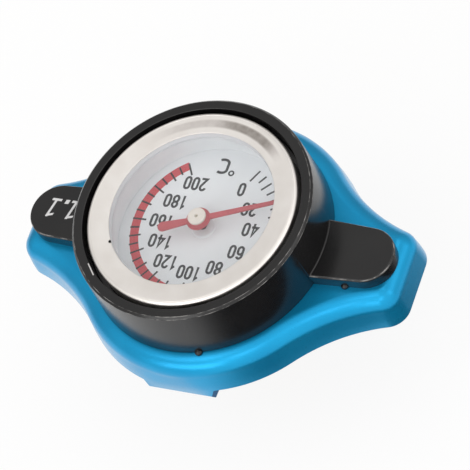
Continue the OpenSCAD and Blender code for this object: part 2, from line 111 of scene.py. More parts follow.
def soften(corners, radius, steps=4):
    """A closed outline with rounded corners, less where its sides are short. Corners on the axis stay."""
    points = []
    for i, corner in enumerate(corners):
        here = Vector(corner)
        back = Vector(corners[i - 1]) - here
        ahead = Vector(corners[(i + 1) % len(corners)]) - here
        opening = back.angle(ahead)
        if corner[0] < 1e-6 or opening > math.radians(170):
            points.append(tuple(here))
            continue
        reach = min(radius / math.tan(opening / 2), 0.45 * back.length, 0.45 * ahead.length)
        first = here + back.normalized() * reach
        last = here + ahead.normalized() * reach
        for k in range(steps + 1):
            t = k / steps
            points.append(tuple(first * (1 - t) ** 2 + here * 2 * t * (1 - t) + last * t ** 2))
    return points


print("outline helpers: arc, circle, oblong, soften")


# %% Helpers for meshes
def finish_mesh(name, mesh, crease=35):
    """An object from a bmesh in millimetres: outward faces, smooth shading, sharp only at real edges."""
    bmesh.ops.remove_doubles(mesh, verts=mesh.verts, dist=1e-5)
    bmesh.ops.recalc_face_normals(mesh, faces=mesh.faces)
    bmesh.ops.scale(mesh, vec=(MM, MM, MM), verts=mesh.verts)
    data = bpy.data.meshes.new(name)
    mesh.to_mesh(data)
    mesh.free()
    data.shade_smooth()
    data.set_sharp_from_angle(angle=math.radians(crease))
    piece = bpy.data.objects.new(name, data)
    bpy.context.collection.objects.link(piece)
    return piece


def skin(mesh, rings, closed=False, caps=True):
    """Quads between rings of equal length. The ends get caps, or the last ring joins the first."""
    rows = [[mesh.verts.new(p) for p in ring] for ring in rings]
    count = len(rows[0])
    pairs = list(zip(rows, rows[1:])) + ([(rows[-1], rows[0])] if closed else [])
    for a, b in pairs:
        for i in range(count):
            j = (i + 1) % count
            mesh.faces.new((a[i], a[j], b[j], b[i]))
    if caps and not closed:
        mesh.faces.new(rows[0])
        mesh.faces.new(rows[-1])
    return rows


def flat_normals(piece):
    """Large faces keep their own direction, and only the small rounding faces bend the light."""
    weights = piece.modifiers.new("flat_normals", "WEIGHTED_NORMAL")
    weights.keep_sharp = True
    weights.weight = 100
    return piece


print("mesh helpers: finish_mesh, skin, flat_normals")


# %% Helpers for pieces
def turn_piece(name, profile, steps=160):
    """A closed profile of (radius, height) points, turned round the axis of the cap."""
    mesh = bmesh.new()
    rings = [[(r * math.cos(a), r * math.sin(a), z) for r, z in profile] for a in circle(steps)]
    skin(mesh, rings, closed=True)
    bmesh.ops.dissolve_degenerate(mesh, edges=mesh.edges, dist=1e-5)
    return flat_normals(finish_mesh(name, mesh))


def slab(mesh, outline, low, high):
    """A flat plate with this outline between two heights."""
    skin(mesh, [[(x, y, z) for x, y in outline] for z in (low, high)])


def bevel_edges(piece, width, segments, crease=35):
    """A bevel on the sharp edges only, so that they catch a line of light."""
    bevel = piece.modifiers.new("soft_edges", "BEVEL")
    bevel.width = width * MM
    bevel.segments = segments
    bevel.limit_method = "ANGLE"
    bevel.angle_limit = math.radians(crease)
    bevel.use_clamp_overlap = True
    return bevel


def fuse(piece, *others):
    """The union of closed pieces as one mesh."""
    for other in others:
        union = piece.modifiers.new("fuse", "BOOLEAN")
        union.operation = "UNION"
        union.solver = "EXACT"
        union.object = other
    bpy.context.view_layer.update()
    shaped = piece.evaluated_get(bpy.context.evaluated_depsgraph_get())
    data = bpy.data.meshes.new_from_object(shaped)
    piece.modifiers.clear()
    piece.data = data
    data.shade_smooth()
    data.set_sharp_from_angle(angle=math.radians(35))
    for other in others:
        bpy.data.objects.remove(other)
    return flat_normals(piece)


print("piece helpers: turn_piece, slab, bevel_edges, fuse")

# %% [markdown]
# ## Finishes
# A finish is more than a colour: dye drifts a little over a part, a tool leaves lines, and plastic has
# a fine skin. Pictures could carry that, but procedural nodes stay sharp at any distance and need no
# files. Each finish reads the object's own coordinates, so its grain has a real size in millimetres.
# Values that are the same all over are set on the shader itself.


# %% A small kit for nodes
class Nodes:
    """A node tree, and the few nodes that a finish or a sky needs."""

    def __init__(self, tree):
        self.nodes, self.links = tree.nodes, tree.links

    def node(self, kind, values=(), **settings):
        made = self.nodes.new("ShaderNode" + kind)
        for setting, value in settings.items():
            setattr(made, setting, value)
        for socket, value in values:
            if isinstance(value, bpy.types.NodeSocket):
                self.links.new(value, made.inputs[socket])
            else:
                made.inputs[socket].default_value = value
        return made

    def calc(self, operation, *inputs):
        return self.node("Math", list(enumerate(inputs)), operation=operation).outputs["Value"]

    def vector(self, operation, *inputs, out="Vector"):
        return self.node("VectorMath", list(enumerate(inputs)), operation=operation).outputs[out]

    def ramp(self, source, start, end, low=0.0, high=1.0, **settings):
        """A value carried from one range to another, and held at its ends."""
        values = [("Value", source), ("From Min", start), ("From Max", end)]
        values += [("To Min", low), ("To Max", high)]
        return self.node("MapRange", values, **settings).outputs["Result"]


print("node kit: node, calc, vector, ramp")

# %% A small kit for finishes
FINISHES = {}


class Finish(Nodes):
    """A node material with a main shader. Sizes are in millimetres."""

    def __init__(self, name, **sockets):
        self.material = bpy.data.materials.new(name)
        self.material.use_nodes = True
        super().__init__(self.material.node_tree)
        FINISHES[name] = self.material
        self.shader = self.nodes["Principled BSDF"]
        self.place = self.node("TexCoord").outputs["Object"]
        for socket, value in sockets.items():
            self.shader.inputs[socket.replace("_", " ")].default_value = value

    def noise(self, size, detail=2.0, stretch=(1, 1, 1)):
        """Noise whose blots are about this many millimetres wide."""
        place = self.node("Mapping", [("Vector", self.place), ("Scale", stretch)]).outputs["Vector"]
        values = [("Vector", place), ("Scale", 1 / (size * MM)), ("Detail", detail)]
        return self.node("TexNoise", values).outputs["Fac"]

    def spread(self, source, low=0.0, high=1.0):
        """The middle of a noise, spread to a range."""
        return self.ramp(source, 0.3, 0.7, low, high)

    def from_axis(self):
        """Distance from the axis of the cap."""
        return self.vector("LENGTH", self.vector("MULTIPLY", self.place, (1, 1, 0)), out="Value")

    def turned_lines(self, size):
        """Fine rings round the axis, as a lathe or a polishing wheel leaves them."""
        height = self.node("SeparateXYZ", [("Vector", self.place)]).outputs["Z"]
        along = self.calc("ADD", self.from_axis(), height)
        values = [("W", along), ("Scale", 1 / (size * MM)), ("Detail", 3.0)]
        return self.node("TexNoise", values, noise_dimensions="1D").outputs["Fac"]

    def near(self, point, size):
        """One close to a point of the cap, given in millimetres, falling to nothing at the given size."""
        gap = self.vector("DISTANCE", self.place, Vector(point) * MM, out="Value")
        return self.ramp(gap, 0.6 * size * MM, size * MM, 1, 0)

    def near_line(self, start, end, size):
        """One along a straight line between two points, falling to nothing at the given size."""
        first = Vector(start) * MM
        run = Vector(end) * MM - first
        offset = self.vector("SUBTRACT", self.place, first)
        share = self.vector("DOT_PRODUCT", offset, run / run.length_squared, out="Value")
        clamped = self.node("Clamp", [("Value", share)]).outputs["Result"]
        foot = self.node("VectorMath", [(0, run), ("Scale", clamped)], operation="SCALE").outputs["Vector"]
        gap = self.vector("DISTANCE", offset, foot, out="Value")
        return self.ramp(gap, 0.4 * size * MM, size * MM, 1, 0)

    def around(self, start):
        """Angle round the axis of the cap in degrees, zero in the direction given."""
        values = [("Vector", self.place), ("Angle", math.radians(-start))]
        turned = self.node("VectorRotate", values, rotation_type="Z_AXIS").outputs["Vector"]
        spot = self.node("SeparateXYZ", [("Vector", turned)]).outputs
        return self.calc("DEGREES", self.calc("ARCTAN2", spot["Y"], spot["X"]))

    def window(self, source, low, rise, fall, high):
        """One between rise and fall, fading to nothing at low and at high."""
        up = self.ramp(source, low, rise, interpolation_type="SMOOTHSTEP")
        down = self.ramp(source, fall, high, interpolation_type="SMOOTHSTEP")
        return self.calc("SUBTRACT", up, down)

    def mix(self, share, first, second):
        """From one colour to another. A colour is three numbers or the output of a node."""
        ends = [(*c, 1.0) if isinstance(c, tuple) else c for c in (first, second)]
        return self.node("Mix", [(0, share), (6, ends[0]), (7, ends[1])], data_type="RGBA").outputs[2]

    def feed(self, socket, source):
        self.links.new(source, self.shader.inputs[socket])

    def colour(self, share, first, second):
        self.feed("Base Color", self.mix(share, first, second))

    def rough(self, source, low, high):
        self.feed("Roughness", self.spread(source, low, high))

    def bump(self, height, depth):
        """Relief whose full depth is this many millimetres."""
        made = self.node("Bump", [("Height", height), ("Distance", depth * MM), ("Strength", 1.0)])
        self.feed("Normal", made.outputs["Normal"])

    def blend(self, share, first, second):
        """From one shader to another, at the end of the finish."""
        made = self.node("MixShader", [(0, share), (1, first), (2, second)])
        self.links.new(made.outputs["Shader"], self.nodes["Material Output"].inputs["Surface"])


def mottled(name, size, first, second, smooth, dull, **sockets):
    """A simple finish whose colour and gloss wander together."""
    layer = Finish(name, **sockets)
    blots = layer.noise(size, 3)
    layer.colour(blots, first, second)
    layer.rough(blots, smooth, dull)
    return layer


print("finish kit: Finish, mottled")

# %% [markdown]
# ## Blue anodised sheet
# The cap is pressed from aluminium sheet, dyed blue and sealed. Under the dye it is metal, so it
# reflects in its own colour, and the seal adds a thin clear gloss: metallic with a coat. A painted blue
# would be simpler, but its highlights would be white. The dye drifts slowly, and a fine pearl grain
# blurs reflections. The cut edges below the skirt and at the ends of the hooks get a darker, rougher
# blue.

# %% Blue anodised sheet
blue = Finish("blue_anodised", Metallic=0.75, Specular_IOR_Level=0.2, Coat_Weight=0.6, Coat_IOR=1.3,
              Coat_Roughness=0.2)
pearl = blue.noise(0.16, 3)
blue.colour(blue.spread(blue.noise(9)), (0.003, 0.300, 0.590), (0.006, 0.345, 0.655))
blue.rough(pearl, 0.27, 0.36)
blue.bump(pearl, 0.004)

cut_edge = Finish("cut_edge", Metallic=0.9)
edge_streaks = cut_edge.noise(0.25, 3, (1, 1, 0.2))
cut_edge.colour(edge_streaks, (0.012, 0.075, 0.19), (0.035, 0.130, 0.27))
cut_edge.rough(edge_streaks, 0.35, 0.55)
print("finishes: blue_anodised and its cut edge")

# %% [markdown]
# ## Black mouldings
# The housing is moulded in black plastic with a smooth, slightly uneven skin. A plain black would look
# like a hole, so the roughness wanders and a shallow relief bends the reflections. A short bright nick
# sits on the rim, and a pale painted highlight, broken up by noise, lies along some of its edges. The
# rubber below is duller, with pores and a trace of talc.

# %% Black plastic and rubber
black = Finish("black_plastic")
grain = black.noise(0.3, 3)
plastic = black.mix(black.spread(black.noise(5)), (0.0045, 0.0045, 0.0050), (0.0070, 0.0068, 0.0070))
nick_from, nick_to, nick_w = (14.23, 13.11, 14.2), (12.55, 14.96, 14.2), 0.13
black.colour(black.near_line(nick_from, nick_to, nick_w), plastic, (0.62, 0.61, 0.60))
black.rough(grain, 0.16, 0.26)
black.bump(grain, 0.003)

# A pale painted highlight for the rounded edges of the rim and the tabs, broken up by noise.
edge_highlight = Finish("painted_edge_highlight")
highlight_breaks = edge_highlight.spread(edge_highlight.noise(1.4, 4), -0.5, 0.95)
edge_highlight.colour(highlight_breaks, (0.012, 0.012, 0.012), (0.30, 0.29, 0.28))
edge_highlight.rough(highlight_breaks, 0.2, 0.35)

rubber = Finish("black_rubber", Specular_IOR_Level=0.35)
talc = rubber.noise(1.2, 4)
pores = rubber.noise(0.12, 2)
rubber.colour(rubber.spread(talc), (0.014, 0.014, 0.014), (0.030, 0.029, 0.028))
rubber.rough(pores, 0.55, 0.75)
rubber.bump(pores, 0.02)
print("finishes: black_plastic, painted_edge_highlight, black_rubber")

# %% [markdown]
# ## Polished and plated metals
# The bezel is spun steel, polished on a wheel, so its fine lines run round the axis. It carries a dark
# speck, and a long dark reflection is painted into its colour over part of its face. Brass pieces are
# turned and show the same rings. Plated and drawn pieces are duller and mottled. One function could
# make them all, but each metal has its own story, so each has its own few lines.

# %% Bezel steel
steel = Finish("polished_steel", Metallic=1.0)
handling = steel.noise(4, 4)
plain_steel = steel.mix(steel.spread(handling), (0.90, 0.86, 0.82), (0.94, 0.91, 0.875))
# A long dark reflection is painted into the colour of the face. It is faint over a wide turn and strong in
# its middle.
reflection_turn = steel.around(250)
reflection_track = steel.window(steel.from_axis(), 15.4 * MM, 15.9 * MM, 16.8 * MM, 17.3 * MM)
reflection_streaks = steel.calc("MULTIPLY", reflection_track, steel.spread(steel.noise(0.9, 4), 0.72, 1))
faint_reflection = steel.calc("MULTIPLY", reflection_streaks, steel.window(reflection_turn, -32, -18, 40, 70))
strong_reflection = steel.calc("MULTIPLY", reflection_streaks, steel.window(reflection_turn, -24, -11, 10, 28))
faintly_reflected = steel.mix(faint_reflection, plain_steel, (0.68, 0.64, 0.615))
darkly_reflected = steel.mix(strong_reflection, faintly_reflected, (0.36, 0.33, 0.305))
speck_at, speck_r = (12.01, 8.35, 14.02), 0.40
steel.colour(steel.near(speck_at, speck_r), darkly_reflected, (0.01, 0.01, 0.01))
steel.rough(handling, 0.34, 0.44)
steel.bump(steel.turned_lines(0.12), 0.0012)
print("finish: polished_steel")

# %% Brass, zinc plate, spring wire and bimetal
brass = Finish("brass", Metallic=1.0)
tarnish = brass.noise(3, 4)
brass.colour(brass.spread(tarnish), (0.56, 0.38, 0.13), (0.74, 0.54, 0.22))
brass.rough(tarnish, 0.22, 0.38)
brass.bump(brass.turned_lines(0.2), 0.006)

zinc = Finish("zinc_steel", Metallic=1.0)
bloom = zinc.noise(1.6, 5)
zinc.colour(zinc.spread(bloom), (0.50, 0.51, 0.53), (0.68, 0.68, 0.67))
zinc.rough(bloom, 0.28, 0.42)
zinc.bump(zinc.noise(0.15, 2), 0.004)

wire = Finish("spring_steel", Metallic=1.0)
drawn = wire.noise(0.5, 4)
wire.colour(wire.spread(drawn), (0.36, 0.36, 0.37), (0.54, 0.53, 0.52))
wire.rough(drawn, 0.22, 0.36)
wire.bump(drawn, 0.004)

mottled("bimetal_strip", 0.4, (0.50, 0.42, 0.33), (0.58, 0.56, 0.53), 0.28, 0.40, Metallic=1.0)

# A dark steel for the spindle and for the bush under the pointer hub. Its dark colour is painted shade
# under the hub, and only the spindle's top end keeps a pale metal colour.
shade_steel = Finish("painted_shade_steel", Metallic=1.0)
shade_mottle = shade_steel.noise(0.3, 3)
shade_tone = shade_steel.mix(shade_mottle, (0.10, 0.095, 0.09), (0.20, 0.19, 0.18))
spindle_end, bright_r = (0, 0, 10.8), 0.6
shade_steel.colour(shade_steel.near(spindle_end, bright_r), shade_tone, (0.62, 0.58, 0.50))
shade_steel.rough(shade_mottle, 0.3, 0.45)
print("finishes: brass, zinc_steel, spring_steel, bimetal_strip, painted_shade_steel")

# %% [markdown]
# ## Behind the glass
# The dial is printed tin with a matte white ground, and the ring above it is a pale moulding. Ink and
# paint are thin layers, so each gets a slight mottle. The lens is clear glass with faint handling haze.
# It casts no shadow, so that the lamps reach the dial without noisy caustics.

# %% Dial, print, pointer and glass
ground = Finish("dial_white", Specular_IOR_Level=0.3)
tooth = ground.noise(0.1, 3)
ground.colour(ground.spread(ground.noise(7, 3)), (0.79, 0.805, 0.83), (0.83, 0.845, 0.865))
ground.rough(tooth, 0.45, 0.6)
ground.bump(tooth, 0.003)

moulded = Finish("pale_plastic")
moulded.colour(moulded.spread(moulded.noise(3, 3)), (0.875, 0.90, 0.92), (0.915, 0.935, 0.95))
moulded.rough(moulded.noise(0.4), 0.3, 0.42)

glass = Finish("clear_glass", Transmission_Weight=1.0, IOR=1.46, Base_Color=(0.97, 0.98, 0.98, 1.0))
glass.rough(glass.noise(6, 4), 0.0, 0.03)

mottled("pointer_red", 0.6, (0.46, 0.085, 0.100), (0.54, 0.115, 0.132), 0.35, 0.5)
mottled("cream_plastic", 0.8, (0.80, 0.73, 0.66), (0.88, 0.82, 0.76), 0.3, 0.45)
sealing = mottled("grey_gasket", 1.5, (0.58, 0.585, 0.61), (0.64, 0.645, 0.67), 0.45, 0.6)
ink = mottled("dial_ink", 0.15, (0.035, 0.036, 0.040), (0.075, 0.077, 0.082), 0.5, 0.7,
              Specular_IOR_Level=0.3)
red_ink = mottled("red_ink", 0.2, (0.56, 0.080, 0.098), (0.65, 0.112, 0.125), 0.5, 0.65,
                  Specular_IOR_Level=0.3)
white_ink = mottled("white_ink", 0.2, (0.55, 0.55, 0.56), (0.80, 0.80, 0.80), 0.45, 0.6)
print("finishes so far:", ", ".join(sorted(FINISHES)))

# %% [markdown]
# ## Joining the frame
# Each new piece has to move with the right part of the mechanism. It could be parented by hand, but one
# function gives it its finish, parents it to an empty for its body and hides the imported nodes that it
# stands for.


# %% How a piece joins the frame
def dress(piece, body, slot, *nodes, finish=None):
    """The piece gets its finish, rides on a body and stands for the CAD nodes named."""
    piece.data.materials.append(finish or FINISHES[slot])
    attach(piece, body)
    if nodes:
        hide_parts(*nodes)
    print(f"{piece.name}: {len(piece.data.polygons)} faces on {body}")
    return piece


def heights(node):
    """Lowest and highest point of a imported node, in millimetres."""
    return [corner.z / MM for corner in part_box(node)]


def outer_radius(node):
    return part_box(node)[1].x / MM


print("joining: dress, heights, outer_radius")


# %% [markdown]
# ## Cap body
# One sheet is drawn into a round cap with two finger lugs, a rounded upper edge and a skirt that flares
# a little below a crease. At front and back a bayonet hook hangs from the skirt and is bent in. A
# subdivision surface could be pulled into this shape, but the outline is made of plain arcs, so rings
# of that outline are lofted from the top down the outside, round the cut edge and up the inside.
# Columns that lie in a hook's width run down round the hook instead of straight over the edge, so sheet
# and hooks are one closed skin.

# %% Sizes of the cap body, in millimetres
body_r, lug_reach, lug_half_w, lug_corner_r, waist_r = 25.2, 35.8, 8.1, 3.9, 32.0
top_z, skirt_z, sheet, edge_r, flare = 3.7, -3.4, 1.2, 3.1, 0.4
hook_trail, hook_tip, hook_lead, hook_z, hook_reach, hook_bend_r = 7.7, 6.1, 6.6, -6.2, 4.4, 0.9
hook_top_z = skirt_z + 0.3
crease_z = top_z - edge_r
corner_c = Vector((lug_reach - lug_corner_r, lug_half_w - lug_corner_r))
waist_far = body_r + waist_r
corner_far = corner_c.length
waist_turn = math.degrees(math.acos(
    (waist_far ** 2 + corner_far ** 2 - (lug_corner_r + waist_r) ** 2) / (2 * waist_far * corner_far)
))
body_turn = math.degrees(math.atan2(corner_c.y, corner_c.x)) + waist_turn
waist_c = Vector((math.cos(math.radians(body_turn)), math.sin(math.radians(body_turn)))) * waist_far
corner_turn = math.degrees(math.atan2(waist_c.y - corner_c.y, waist_c.x - corner_c.x))
chord_y = math.sqrt(body_r ** 2 - hook_trail ** 2)
hook_y = chord_y + 0.5
print(f"waist meets the body at {body_turn:.1f} degrees, hooks hang {chord_y:.1f} mm from the axis")


# %% Outline of the cap body
def hook_x(end, z):
    """Where an end of the hook at +Y lies at a height. The trailing end slopes more than the other."""
    share = (hook_top_z - z) / (hook_top_z - hook_z)
    tip, root = (-hook_tip, -hook_trail) if end == "trail" else (hook_tip, hook_lead)
    return root + (tip - root) * share


def half_outline(grow):
    """From the +X lug round the +Y side to the -X lug, moved out by grow, with the hook's columns."""
    lead = math.degrees(math.acos(hook_x("lead", skirt_z) / body_r))
    trail = math.degrees(math.acos(hook_x("trail", skirt_z) / body_r))
    corner = arc(corner_c, lug_corner_r + grow, 0, corner_turn, 14)
    waist = arc(waist_c, waist_r - grow, corner_turn + 180, body_turn + 180, 18)
    stretches = [(body_turn, lead, 14), (lead, trail, HOOK_COLUMNS), (trail, 180 - body_turn, 14)]
    points = corner + waist[1:]
    for start, end, steps in stretches:
        points += arc((0, 0), body_r + grow, start, end, steps)[1:]
    points += [(-x, y) for x, y in reversed(corner + waist[1:-1])]
    first_column = len(corner) + len(waist) - 2 + stretches[0][2]
    return points, first_column


HOOK_COLUMNS = 16
plan, first_column = half_outline(0)
print("half outline:", len(plan), "points, hook columns from", first_column)


# %% Rings of the cap body
softness, free_r, inner_r = 0.12, 0.3, 0.15
belt_shares, flare_curve = (0.12, 0.3, 0.5, 0.68), 1.4


def level(grow, z, flat_y=body_r):
    """The whole outline at one height, softly flattened at front and back where the hooks hang."""
    half, _ = half_outline(grow)
    half = [(x, flat_y - softness * math.log(1 + math.exp((flat_y - y) / softness))) for x, y in half]
    return [(x, y, z) for x, y in half] + [(-x, -y, z) for x, y in half]


def hook_section():
    """The hook as (y, z), from the skirt's outside round its bend and free edge to the inside."""
    bend_c = (hook_y - hook_bend_r, hook_z + hook_bend_r)
    free_y = chord_y - hook_reach + free_r
    outer = arc(bend_c, hook_bend_r, 0, -90, 10)
    low_edge = arc((free_y, hook_z + free_r), free_r, -90, -180, 4)
    high_edge = arc((free_y, hook_z + sheet - free_r), free_r, 180, 90, 4)
    inner = arc((hook_y - sheet - inner_r, hook_z + sheet + inner_r), inner_r, -90, 0, 10)
    return outer + low_edge + high_edge + inner


print("ring:", len(level(0, top_z)), "points, hook section:", len(hook_section()), "points")


# %% Loft of the cap body
def make_cap_body():
    mesh = bmesh.new()
    bend = (-flare - edge_r, crease_z)
    outside = [level(g, z) for g, z in arc(bend, edge_r, 90, 0, 14)]
    inside = [level(g, z) for g, z in arc(bend, edge_r - sheet, 0, 90, 10)]
    belt = []
    for t in belt_shares:
        grow = -flare * (1 - t) ** flare_curve
        belt.append(level(grow, crease_z + (skirt_z - crease_z) * t, body_r - flare))
    rim = level(0, skirt_z, body_r - flare)
    lining = level(-sheet, skirt_z, body_r - flare - sheet)
    outer = skin(mesh, outside + belt + [rim], caps=False)
    inner = skin(mesh, [lining] + inside, caps=False)
    mesh.faces.new(outer[0])
    mesh.faces.new(inner[-1])
    count = len(plan)
    lips = []
    for start in (0, count):
        sign = 1 if start == 0 else -1
        columns = []
        for k in range(HOOK_COLUMNS + 1):
            i = start + first_column + k
            column = [outer[-1][i]]
            for y, z in hook_section():
                ends = hook_x("lead", z), hook_x("trail", z)
                x = ends[0] + (ends[1] - ends[0]) * k / HOOK_COLUMNS
                column.append(mesh.verts.new((sign * x, sign * y, z)))
            columns.append(column + [inner[0][i]])
        for a, b in zip(columns, columns[1:]):
            down = [mesh.faces.new((a[p], b[p], b[p + 1], a[p + 1])) for p in range(len(a) - 1)]
        # the last column of faces, at the trailing end, counts as cut edge with both ends
        lips += down + [mesh.faces.new(columns[0]), mesh.faces.new(columns[-1])]
    hooked = [start + first_column + k for start in (0, count) for k in range(HOOK_COLUMNS)]
    for i in range(2 * count):
        if i not in hooked:
            j = (i + 1) % (2 * count)
            lips.append(mesh.faces.new((outer[-1][i], outer[-1][j], inner[0][j], inner[0][i])))
    for face in lips:
        face.material_index = 1
    return finish_mesh("cap_shell", mesh, crease=28)


cap_shell = make_cap_body()
bevel_edges(cap_shell, 0.14, 3)
dress(flat_normals(cap_shell), "cap", "blue_anodised", "cap_body")
cap_shell.data.materials.append(cut_edge.material)

# %% [markdown]
# ## Gauge housing
# A black cup with a flat rim and a slightly drafted wall sits on the cap. Two round-ended tabs lie on
# the lugs, and two small pips are left from the mould. The pieces could simply be pushed into each
# other, but then a hard seam would show and the mesh would cross itself. So the cup is turned, the tabs
# are lofted with a rounded upper edge, a hollow strip fills the corner where a tab meets the wall, and
# a boolean union makes them one moulding. Faces on the rounded edges of the rim and the tabs, picked by
# their slope, get a painted highlight, face by face.

# %% Parts of the housing
rim_z, rim_r, foot_r, rim_bevel, groove_r = 14.2, 20.7, 21.7, 0.4, 19.2
seat_r, shoulder_z, floor_z, stem_hole_r = 18.05, 10.3, 5.2, 4.1
tab_end_x, tab_end_r, tab_taper, tab_t, tab_root_x = 29.0, 5.1, 3.0, 2.4, 19.0
tab_edge_r, root_fillet, root_half_turn, root_steps, overlap = 0.4, 0.25, 14.0, 23, 0.02
pip_r, pip_foot, pip_flat, pip_turn, tab_pip_x = 0.68, 0.25, 0.7, math.radians(104.5), -26.5


def tab_outline(grow, side):
    radius = tab_end_r + grow
    end = arc((tab_end_x, 0), radius, -90 + tab_taper, 90 - tab_taper, 40)
    spread_at_root = end[-1][1] + (end[-1][0] - tab_root_x) * math.tan(math.radians(tab_taper))
    points = end + [(tab_root_x, spread_at_root), (tab_root_x, -spread_at_root)]
    return [(side * x, side * y) for x, y in points]


def make_tab(side):
    mesh = bmesh.new()
    top = arc((-tab_edge_r, top_z + tab_t - tab_edge_r), tab_edge_r, 0, 90, 6)
    steps = [(0, top_z)] + top
    skin(mesh, [[(x, y, z) for x, y in tab_outline(grow, side)] for grow, z in steps])
    return finish_mesh("tab", mesh)


def make_root(side):
    """A hollow fillet in the corner where a tab meets the wall."""
    mesh = bmesh.new()
    tab_z = top_z + tab_t
    draft = (foot_r - rim_r - rim_bevel) / (rim_z - rim_bevel - top_z)
    wall_r = foot_r - draft * (tab_t + root_fillet) - overlap
    hollow = arc((wall_r + root_fillet, tab_z + root_fillet), root_fillet, 270, 180, 6)
    inside = wall_r - root_fillet
    sunk = tab_z - 5 * overlap
    profile = [(inside, sunk), (wall_r + root_fillet, sunk)] + hollow + [(inside, tab_z + root_fillet)]
    turns = [math.radians(root_half_turn * (2 * k / root_steps - 1)) for k in range(root_steps + 1)]
    skin(mesh, [[(side * r * math.cos(t), side * r * math.sin(t), z) for r, z in profile] for t in turns])
    return finish_mesh("root", mesh)


def make_pip(x, y):
    mesh = bmesh.new()
    dome = [(r, top_z + pip_foot + pip_flat * h) for r, h in arc((0, 0), pip_r, 0, 80, 6)]
    steps = [(pip_r, top_z)] + dome
    skin(mesh, [[(x + r * math.cos(t), y + r * math.sin(t), z) for t in circle(24)] for r, z in steps])
    return finish_mesh("pip", mesh)


print("housing parts: cup, tabs, roots, pips")

# %% Housing as one moulding
cup_profile = soften([
    (stem_hole_r, top_z), (foot_r, top_z), (rim_r + rim_bevel, rim_z - rim_bevel), (rim_r, rim_z),
    (groove_r, rim_z), (groove_r, shoulder_z), (seat_r, shoulder_z), (seat_r, floor_z),
    (stem_hole_r, floor_z),
], 0.16)
housing = turn_piece("housing_moulding", cup_profile, 192)
fuse(housing, make_tab(1), make_tab(-1), make_root(1), make_root(-1),
     make_pip(foot_r * math.cos(pip_turn), foot_r * math.sin(pip_turn)), make_pip(tab_pip_x, tab_end_r))
dress(housing, "cap", "black_plastic", "gauge_housing")
housing.data.materials.append(edge_highlight.material)
# Faces on the rim's bevel and on the tabs' upper edge are picked by their slope and get the painted
# highlight.
highlit = 0
for face in housing.data.polygons:
    tilt = face.normal.z
    high = face.center.z / MM
    on_rim = face.center.xy.length / MM > rim_r - 0.12 and high > rim_z - rim_bevel - 0.15
    on_tab = abs(high - (top_z + tab_t - tab_edge_r / 2)) < tab_edge_r / 2
    if (on_rim and (0.15 < tilt < 0.66 or 0.75 < tilt < 0.97)) or (on_tab and 0.5 < tilt < 0.85):
        face.material_index = 1
        highlit += 1
print("rubbed edges:", highlit, "faces")

# %% [markdown]
# ## Bezel, lens and spacer
# The bezel is spun sheet with a nearly flat face and a rolled edge, closed over the gauge case. Under
# its lip lie a thin grey gasket and the lens, and a pale ring keeps the lens clear of the dial. A ring
# could be cut from a cylinder and bevelled, but these pieces are made on a lathe in the real world too,
# so each is turned from its profile. The glass is kept thin, since a thick one would shift the print
# behind it.

# %% Bezel
bezel_r, bezel_open_r, bezel_z, bezel_t, bezel_skirt = 18.5, 14.52, 14.0, 0.5, 3.1
roll_r, face_rise, groove_w, groove_t, lip_edge = 0.6, 0.15, 0.12, 0.05, 0.22
face_z = bezel_z + face_rise
face_end = bezel_r - roll_r - groove_w
roll = arc((bezel_r - roll_r, face_z - roll_r), roll_r, 90, 0, 16)
bezel_profile = [(bezel_open_r, bezel_z - lip_edge), (bezel_open_r, bezel_z), (face_end, face_z)]
bezel_profile += [(face_end + groove_w / 2, face_z - groove_t)] + roll
bezel_profile += [(bezel_r, bezel_z - bezel_skirt), (bezel_r - bezel_t, bezel_z - bezel_skirt)]
bezel_profile += [(bezel_r - bezel_t, bezel_z - bezel_t)]
bezel = turn_piece("bezel_ring", soften(bezel_profile, 0.08, 3), 256)
dress(bezel, "cap", "polished_steel", "bezel")

# %% Lens, gasket and spacer
lens_t = 0.45
lens_high = heights("lens")[1]
lens_low = lens_high - lens_t
lens_r = outer_radius("lens")
lens = turn_piece("lens_glass", soften(oblong(0, lens_low, lens_r, lens_high), 0.1), 128)
dress(lens, "cap", "clear_glass", "lens")
lens.visible_shadow = False

gasket_in, gasket_lip = bezel_open_r + 0.10, bezel_open_r - 0.22
gasket_high = bezel_z - lip_edge - 0.02
gasket_profile = soften([(gasket_lip, lens_high), (lens_r, lens_high), (lens_r, bezel_z - bezel_t),
                         (gasket_in + 0.6, gasket_high), (gasket_in, gasket_high)], 0.06)
gasket = turn_piece("gasket_ring", gasket_profile, 192)
dress(gasket, "cap", "pale_plastic", "lens_gasket", finish=sealing.material)

dial_low, dial_z = heights("dial")
spacer_lip_r, lip_t, lip_w, spacer_foot_r = 14.5, 0.4, 0.5, 15.3
spacer_profile = soften([
    (lens_r, lens_low), (spacer_lip_r, lens_low), (spacer_lip_r, lens_low - lip_t),
    (spacer_lip_r + lip_w, lens_low - 2 * lip_t), (spacer_foot_r, dial_z), (lens_r, dial_z)], 0.12)
dress(turn_piece("spacer_ring", spacer_profile, 192), "cap", "pale_plastic", "dial_spacer")

# %% [markdown]
# ## Dial and its print
# The dial is a flat plate with a printed scale from 0 to 200. The print could be painted by nodes, but
# figures need real outlines, so each mark is a very thin plate of ink on the dial. One unit turns the
# pointer by a degree and a half, clockwise. Black and red were printed one after the other and sit a
# little off each other and off the spindle, as on the real dial, so each print has its own centre.

# %% Dial plate
dial_r = outer_radius("dial")
dial_hole_r, collar_in, collar_out, collar_h = 0.6, 1.95, 2.2, 0.3
dial_profile = soften([(dial_hole_r, dial_low), (dial_r, dial_low), (dial_r, dial_z), (collar_out, dial_z),
                       (collar_in, dial_z + collar_h), (dial_hole_r, dial_z + collar_h)], 0.05)
dress(turn_piece("dial_plate", dial_profile), "cap", "dial_white", "dial")

